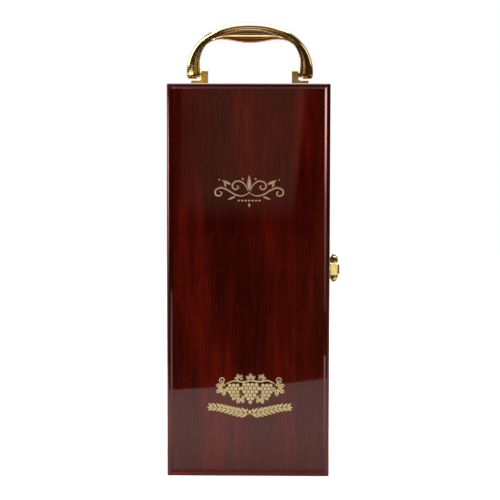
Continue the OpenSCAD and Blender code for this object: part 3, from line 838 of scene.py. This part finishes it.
@dataclass
class Lining:
    """Satin pad in the lid, flocked bed in the base, and the covered boards round both."""

    nodes: dict[str, Piece]
    finishes: Finishes
    pad_voxel: float = 4.0 * MM
    pad_cap: float = 2.2 * MM
    pad_inset: float = 1.6 * MM
    pressure: float = 4.0
    frames: int = 20
    bed_voxel: float = 2.6 * MM
    fold: float = 0.45 * MM
    held_depth: float = 1.5 * MM

    def build(self) -> None:
        """Build the soft pieces and dress the boards."""
        self.build_pad()
        self.build_bed()
        for node, body in (("base_liner", Body.BASE), ("lid_liner", Body.LID)):
            self.build_boards(node, body)

    def build_pad(self) -> None:
        """Blow the pad up as stuffed cloth, with its back held flat on the panel."""
        low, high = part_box("lid_pad")
        inset = Vector((self.pad_inset, 0, self.pad_inset))
        piece = add_block("lid_pad_satin", low + inset, high - inset - Vector((0, self.pad_inset, 0)))
        modify(piece, "REMESH", mode="VOXEL", voxel_size=self.pad_voxel)
        self.inflate(piece, low.y)
        modify(piece, "SUBSURF", levels=1, render_levels=1)
        bpy.ops.object.shade_smooth()
        mount(piece, Body.LID, self.finishes["satin"], ["lid_pad"])

    def inflate(self, piece: Piece, back: float) -> None:
        """Simulate the pad's cloth under pressure and cap how far it moves.

        Args:
            piece: The remeshed pad.
            back: Y of the panel behind it.
        """
        start = [vertex.co.copy() for vertex in piece.data.vertices]
        held = piece.vertex_groups.new(name="held")
        held.add([v.index for v in piece.data.vertices if v.co.y < back + self.held_depth], 1.0, "REPLACE")
        pick(piece)
        cloth = piece.modifiers.new("cloth", "CLOTH")
        cloth.settings.use_pressure = True
        cloth.settings.uniform_pressure_force = self.pressure
        cloth.settings.vertex_group_mass = "held"
        cloth.settings.effector_weights.gravity = 0.0
        scene = bpy.context.scene
        for number in range(self.frames):
            scene.frame_set(number + 1)
        bpy.ops.object.modifier_apply(modifier=cloth.name)
        scene.frame_set(1)
        for vertex, rest in zip(piece.data.vertices, start):
            move = vertex.co - rest
            if move.length > self.pad_cap:
                vertex.co = rest + move.normalized() * self.pad_cap

    def build_bed(self) -> None:
        """Soften the bed's edges as flocked foam has them."""
        piece = copy_of_node(self.nodes["bottle_bed"], "bottle_bed_flock", flat_angle=0.0)
        modify(piece, "REMESH", mode="VOXEL", voxel_size=self.bed_voxel)
        modify(piece, "SMOOTH", factor=0.5, iterations=6)
        bpy.ops.object.shade_smooth()
        mount(piece, Body.BASE, self.finishes["flock"], ["bottle_bed"])

    def build_boards(self, node: str, body: Body) -> None:
        """Round the edges of a ring of covered boards.

        Args:
            node: Name of the node.
            body: Body that it belongs to.
        """
        piece = copy_of_node(self.nodes[node], node + "_covered")
        modify(piece, "BEVEL", width=self.fold, segments=3, limit_method="ANGLE")
        smooth(piece)
        mount(piece, body, self.finishes["satin"], [node])


# ---------- Gilding ----------


def shifted(outlines: Outlines, at: Point) -> list[list[Point]]:
    """Move outlines to their place."""
    return [[(x + at[0], z + at[1]) for x, z in outline] for outline in outlines]


def mirrored(outlines: Outlines) -> list[list[Point]]:
    """Add the mirror image of each outline to its left."""
    return [*outlines, *([(-x, z) for x, z in outline] for outline in outlines)]


def through(points: Sequence[Point], steps: int = 7) -> list[Point]:
    """Lead a smooth path through points.

    Args:
        points: The points, in order.
        steps: Number of parts between two points.

    Returns:
        The path.
    """
    path = []
    ends = [points[0], *points, points[-1]]
    for a, b, c, d in zip(ends, ends[1:], ends[2:], ends[3:]):
        for number in range(steps):
            t = number / steps
            path.append(tuple(
                b[i] + 0.5 * t * (c[i] - a[i] + t * (2 * a[i] - 5 * b[i] + 4 * c[i] - d[i]
                                                     + t * (3 * (b[i] - c[i]) + d[i] - a[i])))
                for i in (0, 1)))
    return [*path, points[-1]]


def stroke(path: Sequence[Point], thick: float, start: float, end: float) -> list[Point]:
    """Outline of a pen stroke that swells in its middle.

    Args:
        path: Its middle line.
        thick: Its full width.
        start: Share of the width at its start.
        end: Share of the width at its end.

    Returns:
        The outline.
    """
    left, right = [], []
    last = len(path) - 1
    for number, (x, z) in enumerate(path):
        before, after = path[max(number - 1, 0)], path[min(number + 1, last)]
        dx, dz = after[0] - before[0], after[1] - before[1]
        share = number / last
        thin = start + (end - start) * share
        swell = math.sin(math.pi * share) ** 0.7
        half = thick / 2 * (thin + (1 - thin) * swell) / math.hypot(dx, dz)
        left.append((x - dz * half, z + dx * half))
        right.append((x + dz * half, z - dx * half))
    return left + right[::-1]


def disc(x: float, z: float, radius: float, count: int = 20) -> list[Point]:
    """Round dot."""
    turns = (2 * math.pi * i / count for i in range(count))
    return [(x + radius * math.cos(a), z + radius * math.sin(a)) for a in turns]


def petal(x: float, z: float, angle: float, length: float, width: float) -> list[Point]:
    """Pointed petal.

    Args:
        x: Place of its foot.
        z: Height of its foot.
        angle: Direction in degrees.
        length: Its length.
        width: Its full width.

    Returns:
        The outline.
    """
    c, s = math.cos(math.radians(angle)), math.sin(math.radians(angle))
    shares = [i / 8 for i in range(9)]
    side = [(length * t, width / 2 * math.sin(math.pi * t ** 0.8)) for t in shares]
    whole = side + [(u, -v) for u, v in side[-2:0:-1]]
    return [(x + u * c - v * s, z + u * s + v * c) for u, v in whole]


def leaf(x: float, z: float, angle: float, size: float, vein: float = 0.42) -> list[list[Point]]:
    """Lobed vine leaf, parted along its veins.

    Args:
        x: Place of its stalk.
        z: Height of its stalk.
        angle: Direction of its middle vein in degrees.
        size: Length of its middle vein.
        vein: Width of the gaps that stand for its veins.

    Returns:
        Outlines of its parts.
    """
    veins = ((-158, 0.42), (-108, 0.68), (-54, 0.92), (0, 1.0), (54, 0.92), (108, 0.68), (158, 0.42))
    teeth = ((0.18, 0.80), (0.27, 0.84), (0.36, 0.64))
    core = 0.16 * size
    near = math.degrees(vein / 2 / core)
    parts = []
    for (a, share_a), (b, share_b) in zip(veins, veins[1:]):
        span = b - a
        halves = []
        for turn, way, reach in ((a, 1, share_a * size), (b, -1, share_b * size)):
            tip = (turn + way * math.degrees(vein / 2 / reach), reach)
            halves.append([(turn + way * near, core), tip]
                          + [(turn + way * across * span, share * reach) for across, share in teeth])
        bay = (a + 0.5 * span, 0.25 * (share_a + share_b) * size)
        polar = [*halves[0], bay, *halves[1][::-1]]
        turns = [(math.radians(angle + turn), reach) for turn, reach in polar]
        parts.append([(x + r * math.cos(t), z + r * math.sin(t)) for t, r in turns])
    return parts


def bunch(x: float, z: float, rows: Sequence[int], pitch: float, drop: float = 0.86,
          fill: float = 0.445) -> list[list[Point]]:
    """Hanging bunch of grapes.

    Args:
        x: Its middle.
        z: Height of its first row.
        rows: Number of grapes in each row, from the top.
        pitch: Distance between two grapes.
        drop: Distance between two rows, as a share of the pitch.
        fill: Radius of a grape, as a share of the pitch.

    Returns:
        Outlines of the grapes.
    """
    return [disc(x + (i - (count - 1) / 2) * pitch, z - row * pitch * drop, pitch * fill)
            for row, count in enumerate(rows) for i in range(count)]


def curl(x: float, z: float, radius: float, start: float, turns: float, wound: float = 0.78) -> list[Point]:
    """Tendril that winds inwards.

    Args:
        x: Its middle.
        z: Height of its middle.
        radius: Its outer radius.
        start: Angle of its outer end in degrees.
        turns: Number of turns, below 0 for clockwise.
        wound: Share of the radius that it winds in.

    Returns:
        Its middle line.
    """
    count = round(abs(turns) * 18)
    path = []
    for number in range(count + 1):
        t = number / count
        turn = math.radians(start + 360 * turns * t)
        reach = radius * (1 - wound * t)
        path.append((x + reach * math.cos(turn), z + reach * math.sin(turn)))
    return path


@dataclass
class Gilding:
    """Foil stamped on the lid's panel: a vine branch low down, and a pen flourish with a rule above.

    Outlines are in millimetres, x across and z up, and lie on the panel's face.
    """

    finishes: Finishes
    face: float
    relief: float = 0.14 * MM
    sink: float = 0.05 * MM
    vine_at: Point = (1.6, 55.0)
    flourish_at: Point = (0.7, 244.1)

    def build(self) -> None:
        """Stamp both ornaments, the flourish in the gilt foil tinted pink as a painted reflection of its
        sheen.
        """
        self.stamp("gilt_vine", shifted(self.vine(), self.vine_at), self.finishes["foil"])
        self.stamp("gilt_flourish", shifted(self.flourish(), self.flourish_at), self.finishes["pink_sheen_painted_foil"])

    def stamp(self, name: str, outlines: Outlines, foil: Material) -> None:
        """Press outlines out of foil, as one piece that rides on the lid.

        Args:
            name: Name of the ornament.
            outlines: Closed outlines, none of which crosses itself.
            foil: Finish of the foil.
        """
        top = self.face - self.relief
        first, *others = [[(x * MM, top, z * MM) for x, z in outline] for outline in outlines]
        piece = add_polygon(name, first)
        bpy.ops.object.mode_set(mode="EDIT")
        for outline in others:
            bpy.ops.mesh.select_all(action="DESELECT")
            bpy.ops.mesh.primitive_circle_add(vertices=len(outline), radius=MM, fill_type="NGON")
            sheet = bmesh.from_edit_mesh(piece.data)
            added = [vertex for vertex in sheet.verts if vertex.select]
            for vertex, point in zip(added, outline):
                vertex.co = point
            bmesh.update_edit_mesh(piece.data)
        bpy.ops.mesh.select_all(action="SELECT")
        bpy.ops.mesh.extrude_region_move(TRANSFORM_OT_translate={"value": (0, self.relief + self.sink, 0)})
        bpy.ops.mesh.select_all(action="SELECT")
        bpy.ops.mesh.normals_make_consistent(inside=False)
        bpy.ops.object.mode_set(mode="OBJECT")
        mount(piece, Body.LID, foil)

    def spray(self) -> list[list[Point]]:
        """Right half of the laurel below the grapes: a low stem with leaves in pairs."""
        stem = through([(0.6, 1.4), (9, 2.6), (18, 4.8), (27, 6.8), (35.6, 7.4)])
        outlines = [stroke(stem, 0.9, 0.6, 0.5)]
        for number in range(3, len(stem) - 1, 3):
            x, z = stem[number]
            length = 8.2 - 3.0 * number / len(stem)
            outlines.append(petal(x - 1.2, z + 0.5, 44, length, 2.3))
            outlines.append(petal(x - 1.2, z - 0.5, -22, length * 0.9, 2.2))
        return outlines + [petal(34.4, 7.3, 8, 4.6, 2.0)]

    def vine(self) -> list[list[Point]]:
        """Branch with three bunches, leaves and tendrils, over two sprays of laurel."""
        branch = through([(-21.5, 29.2), (-14, 31.8), (-6, 30.8), (1, 32.0), (9, 31.2), (16, 32.2),
                          (22.5, 29.4)])
        outlines = [stroke(branch, 1.4, 0.5, 0.5)]
        outlines += bunch(0.4, 28.4, (4, 5, 4, 3, 2, 1), 3.7)
        outlines += bunch(-14.6, 27.8, (3, 4, 3, 2, 1), 3.5)
        outlines += bunch(15.4, 27.8, (3, 4, 3, 2, 1), 3.5)
        for x, z, angle, size in ((-9.4, 33.4, 112, 5.4), (10.4, 33.8, 66, 5.0), (0.8, 33.0, 92, 6.0),
                                  (-23.4, 25.8, 214, 8.8), (24.2, 25.8, 326, 8.8), (-8.4, 17.4, 244, 7.4),
                                  (9.2, 17.4, 296, 7.4)):
            outlines += leaf(x, z, angle, size)
        outlines.append(stroke(curl(-24.9, 32.4, 3.2, -60, -1.4), 0.9, 0.6, 0.6))
        outlines.append(stroke(curl(25.9, 32.6, 3.2, 240, 1.4), 0.9, 0.6, 0.6))
        outlines += mirrored(self.spray())
        outlines += [disc(0, 3.6, 1.5), disc(-2.6, 5.4, 1.0), disc(2.6, 5.4, 1.0)]
        return outlines

    def flourish(self) -> list[list[Point]]:
        """Palmette between four scrolls, over a rule of lozenges and a drop."""
        low = through([(1.0, 12.4), (6, 10.2), (13, 11.4), (19, 15.2), (25, 17.4), (30.2, 15.2), (30.0, 11.2),
                       (26.4, 10.2), (24.6, 12.6), (26.4, 14.2)])
        high = through([(1.0, 14.6), (3.4, 19.8), (8.4, 23.4), (13.6, 22.2), (15.2, 18.4), (12.6, 15.9),
                        (9.7, 17.5), (10.9, 19.7)])
        side = [stroke(low, 1.35, 0.4, 0.6), stroke(high, 1.25, 0.4, 0.6),
                petal(16.2, 20.4, 24, 9.4, 2.3), petal(20.6, 17.8, 66, 5.2, 1.7),
                petal(12.4, 9.6, -22, 7.6, 1.7), disc(5.8, 25.4, 0.8), disc(26.9, 24.6, 0.7)]
        outlines = mirrored(side)
        outlines += [petal(0, 15.2, 90, 13.8, 3.2), petal(0, 3.6, -90, 3.6, 1.8),
                     disc(0, 13.0, 0.8)]
        for number in range(-3, 4):
            x = number * 3.1
            outlines.append([(x - 1.25, 6.0), (x, 5.0), (x + 1.25, 6.0), (x, 7.0)])
        return outlines


# ---------- Studio ----------


@dataclass(frozen=True)
class Lamp:
    """Soft rectangular lamp: centre, point it faces, width and height, and power in watts."""

    name: str
    at: Sequence[float]
    aim: Sequence[float]
    size: Point
    power: float

    def hang(self) -> None:
        """Add the lamp, out of the camera's sight."""
        data = bpy.data.lights.new(self.name, "AREA")
        data.shape = "RECTANGLE"
        data.size, data.size_y = self.size
        data.energy = self.power
        lamp = add_object(self.name, data)
        lamp.location = self.at
        lamp.rotation_euler = (Vector(self.aim) - Vector(self.at)).to_track_quat("-Z", "Y").to_euler()
        lamp.visible_camera = False


@dataclass(frozen=True)
class Reflector:
    """Glowing board that only polish mirrors: its corners, its glow, and how it fades.

    Each fade is a direction, where along it the glow starts to change and where it ends, and the share of
    the glow before and after. The loss is the share of the glow that a second mirroring doesn't show.
    """

    name: str
    low: Sequence[float]
    high: Sequence[float]
    glow: Colour
    fades: tuple[tuple[Sequence[float], float, float, float, float], ...] = ()
    bounced_loss: float = 0.8

    def stand(self) -> None:
        """Add the board."""
        board = add_block(self.name, self.low, self.high)
        material, b = new_material(self.name)
        place = b.put("TexCoord").outputs["Object"]
        bounced = b.math("GREATER_THAN", b.put("LightPath").outputs["Glossy Depth"], 1.5)
        strength = b.math("SUBTRACT", 1.0, b.math("MULTIPLY", bounced, self.bounced_loss))
        for direction, start, end, before, after in self.fades:
            along = b.put("VectorMath", operation="DOT_PRODUCT", in0=place, in1=tuple(direction))
            share = b.ease(along.outputs["Value"], start, end, before, after)
            strength = b.math("MULTIPLY", strength, share)
        light = b.put("Emission", Color=self.glow, Strength=strength)
        b.put("OutputMaterial", Surface=light.outputs[0])
        paint(board, material)
        board.visible_camera = False
        board.visible_shadow = False
        board.visible_diffuse = False


LAMPS = (
    Lamp("overhead", (0.0, 0.4, 1.6), (0, 0.4, 0), (1.6, 1.3), 18.0),
    Lamp("left", (-1.15, -0.25, 0.95), (0, 0, 0.25), (0.9, 0.9), 12.0),
    Lamp("right", (1.5, -0.5, 0.95), (0, 0, 0.2), (0.7, 0.7), 2.5),
    Lamp("front", (-1.4, -1.4, 1.9), (0, 0, 0.15), (0.9, 0.6), 21.0),
)

ACROSS = (1, 0, 0)
UP = (0, 0, 1)
NEARER = (0, -1, 0)

REFLECTORS = (
    Reflector("panel_board", (-0.15, -1.72, 0.11), (0.09, -1.71, 0.3675), (0.33, 0.215, 0.155),
              (((1, 0, -0.1056), 0.030, 0.041, 1, 0), (ACROSS, -0.150, -0.085, 0.55, 1),
               (UP, 0.118, 0.185, 0, 1))),
    Reflector("bracket_board_left", (-0.25, -1.72, 0.380), (-0.03, -1.71, 0.412), (1.03, 0.87, 0.235),
              ((ACROSS, -0.113, 0.055, 1, 0.35),)),
    Reflector("bracket_board_right", (-0.03, -1.72, 0.380), (0.16, -1.71, 0.412), (0.95, 1.0, 0.86),
              ((ACROSS, -0.113, 0.055, 1, 0.38),)),
    Reflector("latch_strip", (0.1185, -1.72, -0.06), (0.17, -1.71, 0.13), (1.66, 1.78, 1.27)),
    Reflector("left_front", (-2.0, -1.42, -0.1), (-0.5, -1.41, 0.35), (8.0, 7.6, 7.6),
              ((UP, -0.02, 0.27, 0.05, 1), (UP, 0.27, 0.35, 1, 0.3))),
    Reflector("left_strip_high", (-1.11, -0.16, 0.55), (-1.10, 0.06, 1.1), (8.0, 7.8, 7.4)),
    Reflector("left_strip", (-1.11, -0.16, 0.02), (-1.10, 0.06, 0.375), (10.5, 7.2, 6.8),
              ((UP, 0.0, 0.19, 0.25, 1), (UP, 0.16, 0.36, 0.13, 1))),
    Reflector("top_back", (-0.7, -0.16, 1.45), (0.7, 0.6, 1.46), (8.0, 7.8, 7.6)),
    Reflector("top_front", (-0.7, -1.9, 1.45), (0.7, -0.5, 1.46), (1.6, 1.5, 1.4),
              ((NEARER, 0.85, 1.05, 0.25, 1), (NEARER, 1.5, 1.9, 1, 0.05))),
    Reflector("handle_board", (-0.3, -0.22, 0.9), (0.3, -0.06, 0.91), (4.5, 4.5, 4.6)),
    Reflector("back_board", (-0.9, 1.2, 1.15), (0.9, 1.21, 2.5), (2.2, 2.25, 2.5),
              ((UP, 1.15, 1.7, 0.25, 1),)),
)


@dataclass
class Studio:
    """Pale floor, white surroundings, soft lamps and the camera."""

    focal: float = 132.08
    eye: tuple[float, float, float] = (29.1 * MM, -1701.5 * MM, 333.2 * MM)
    pitch: float = 4.437
    yaw: float = -0.961
    roll: float = 0.109
    floor_front: tuple[Point, ...] = ((-0.74, -0.56), (-0.097, -0.564), (-0.041, -0.588), (0.017, -0.612),
                                      (0.046, -0.625), (0.081, -0.657), (0.16, -0.75), (1.6, -2.2))
    floor_back: tuple[Point, ...] = ((1.6, 2.5), (-0.74, 2.5))
    floor_colour: Colour = (0.85, 0.79, 0.77)
    lift_colour: Colour = (0.90, 0.97, 1.0)
    lift: float = 0.80

    def build(self) -> None:
        """Build the whole set."""
        self.add_camera()
        self.add_floor()
        for lamp in LAMPS:
            lamp.hang()
        for reflector in REFLECTORS:
            reflector.stand()
        self.set_world()
        bpy.context.scene.view_settings.view_transform = "Standard"

    def add_camera(self) -> None:
        """Place the camera at its fitted height, distance and turn."""
        data = bpy.data.cameras.new("camera")
        data.sensor_width = 36.0
        data.lens = self.focal
        data.clip_start = 0.05
        data.clip_end = 50.0
        camera = add_object("camera", data)
        down, turn, lean = (math.radians(angle) for angle in (self.pitch, self.yaw, self.roll))
        level = math.radians(90)
        camera.matrix_world = (Matrix.Translation(self.eye) @ Matrix.Rotation(-turn, 4, "Z")
                               @ Matrix.Rotation(level - down, 4, "X") @ Matrix.Rotation(lean, 4, "Z"))
        bpy.context.scene.camera = camera

    def add_floor(self) -> None:
        """Lay the floor, whose front edge is the table edge that the lid mirrors."""
        floor = add_polygon("floor", [(x, y, 0.0) for x, y in (*self.floor_front, *self.floor_back)])
        paint(floor, self.floor_material())

    def floor_material(self) -> Material:
        """White matt board, lifted for the camera alone so that it meets the white behind it.

        Returns:
            The material.
        """
        material, b = new_material("floor_board")
        matt = b.put("BsdfDiffuse", Color=self.floor_colour)
        seen = b.math("MULTIPLY", b.put("LightPath").outputs["Is Camera Ray"], self.lift)
        lift = b.put("Emission", Color=self.lift_colour, Strength=seen)
        both = b.put("AddShader", in0=matt.outputs[0], in1=lift.outputs[0])
        b.put("OutputMaterial", Surface=both.outputs[0])
        return material

    @staticmethod
    def set_world() -> None:
        """White to the camera; to all else nearly black level with the box, and pale or warm elsewhere."""
        world = bpy.data.worlds.new("studio")
        bpy.context.scene.world = world
        world.use_nodes = True
        b = Board(world.node_tree)
        way = b.put("SeparateXYZ", Vector=b.put("TexCoord").outputs["Generated"])
        behind = b.ease(way.outputs["Y"], 0.12, 0.45, 0.0, 0.45)
        below = b.ease(way.outputs["Z"], -0.42, -0.28, 0.12, 0.0)
        pale = b.math("MAXIMUM", behind, below)
        path = b.put("LightPath")
        seen = b.put("Mix", data_type="FLOAT", in0=path.outputs["Is Camera Ray"], in2=pale, in3=1.0)
        above = b.ease(way.outputs["Z"], 0.3, 0.75, 0.035, 0.06)
        hidden = b.math("MULTIPLY", above, b.math("SUBTRACT", 1.0, path.outputs["Is Camera Ray"]))
        white = b.put("Background", Color=(1, 1, 1), Strength=seen.outputs[0])
        warm = b.put("Background", Color=(1.0, 0.62, 0.32), Strength=hidden)
        both = b.put("AddShader", in0=white.outputs[0], in1=warm.outputs[0])
        b.put("OutputWorld", Surface=both.outputs[0])


def main() -> None:
    """Load the frame, then build and dress each sub-assembly in order."""
    logging.basicConfig(level=logging.INFO, format="%(name)s: %(message)s")
    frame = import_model()
    nodes = frame["nodes"]
    Studio().build()
    groups = ShaderGroups()
    finishes = {use: finish.build(groups) for use, finish in FINISHES.items()}
    Case(nodes, finishes).dress()
    Hardware(nodes, finishes).build()
    low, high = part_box("handle_pins")
    CarryHandle(finishes, (low + high) / 2).build()
    Lining(nodes, finishes).build()
    Gilding(finishes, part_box("lid_panel")[0].y).build()


if __name__ == "__main__":
    main()
